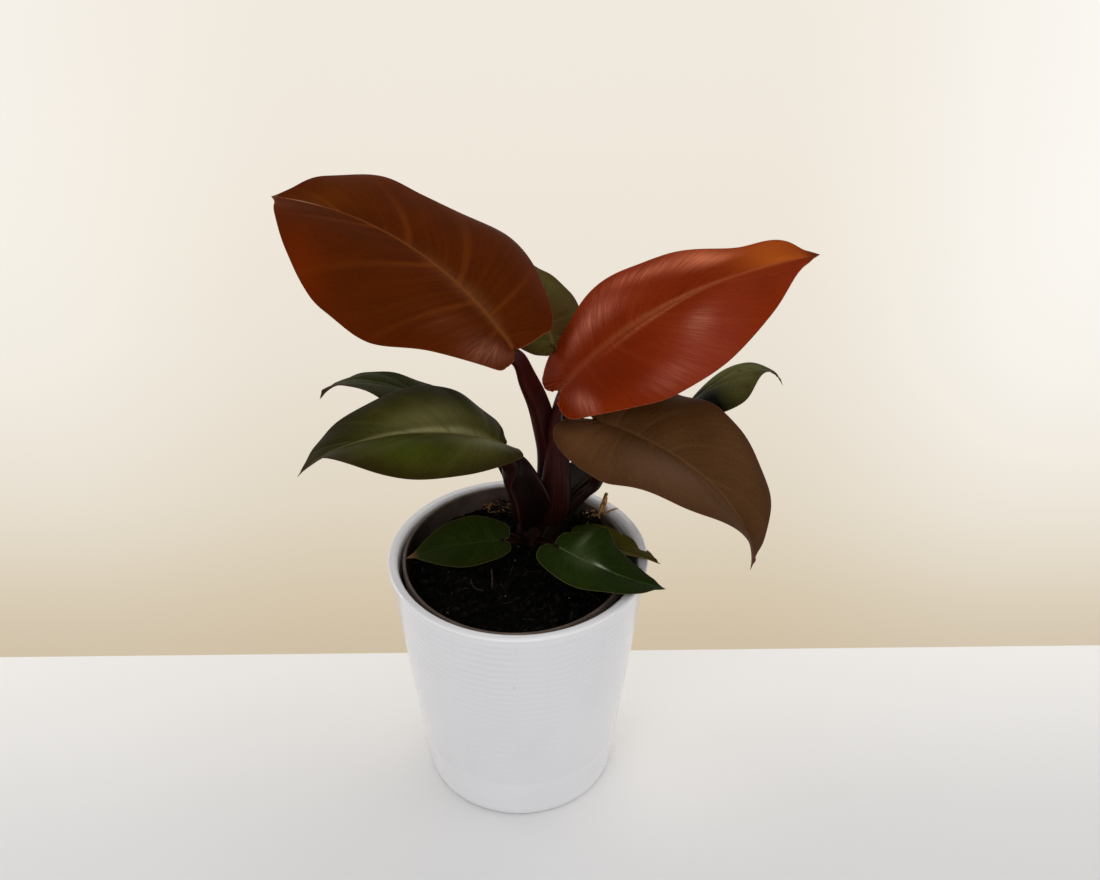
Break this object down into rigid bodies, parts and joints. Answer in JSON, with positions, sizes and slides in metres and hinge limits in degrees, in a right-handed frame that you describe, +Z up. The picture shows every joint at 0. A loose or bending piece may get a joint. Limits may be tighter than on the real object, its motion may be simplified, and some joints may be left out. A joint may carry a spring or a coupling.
{
  "type": "potted plant",
  "caption": "Young broad-leaved plant with red, brown and green leaves on channelled stalks, in a nursery pot of soil inside a tapered white glazed pot.",
  "frame": {"origin": "centre of the glazed pot's flat foot, on the surface it stands on", "axes": "+Z up along the pot's axis, +X to the right and +Y away from the viewer, as seen in the source picture"},
  "size_m": [0.2907, 0.1889, 0.3189],
  "materials": {
    "white_glaze": "gloss",
    "taupe_plastic": "satin",
    "peat": "matte",
    "stalk_maroon": "satin",
    "blade_upper_left": "satin",
    "blade_lower_left": "satin",
    "blade_lower_right": "satin",
    "blade_upper_right": "satin",
    "blade_back": "satin",
    "blade_back_left": "satin",
    "blade_back_right": "satin",
    "blade_small_left": "satin",
    "blade_small_front": "satin",
    "blade_small_right": "satin",
    "green_scale": "matte",
    "brown_scale": "matte"
  },
  "bodies": {
    "root": {"glazed_pot": "white_glaze", "nursery_pot": "taupe_plastic", "soil": "peat", "crown": "stalk_maroon", "blade_upper_left": "blade_upper_left", "stalk_upper_left": "stalk_maroon", "blade_lower_left": "blade_lower_left", "stalk_lower_left": "stalk_maroon", "blade_lower_right": "blade_lower_right", "stalk_lower_right": "stalk_maroon", "blade_upper_right": "blade_upper_right", "stalk_upper_right": "stalk_maroon", "blade_back": "blade_back", "stalk_back": "stalk_maroon", "blade_back_left": "blade_back_left", "stalk_back_left": "stalk_maroon", "blade_back_right": "blade_back_right", "stalk_back_right": "stalk_maroon", "blade_small_left": "blade_small_left", "stalk_small_left": "stalk_maroon", "blade_small_front": "blade_small_front", "stalk_small_front": "stalk_maroon", "blade_small_right": "blade_small_right", "stalk_small_right": "stalk_maroon", "green_scale": "green_scale", "brown_scale": "brown_scale"}
  },
  "joints": []
}
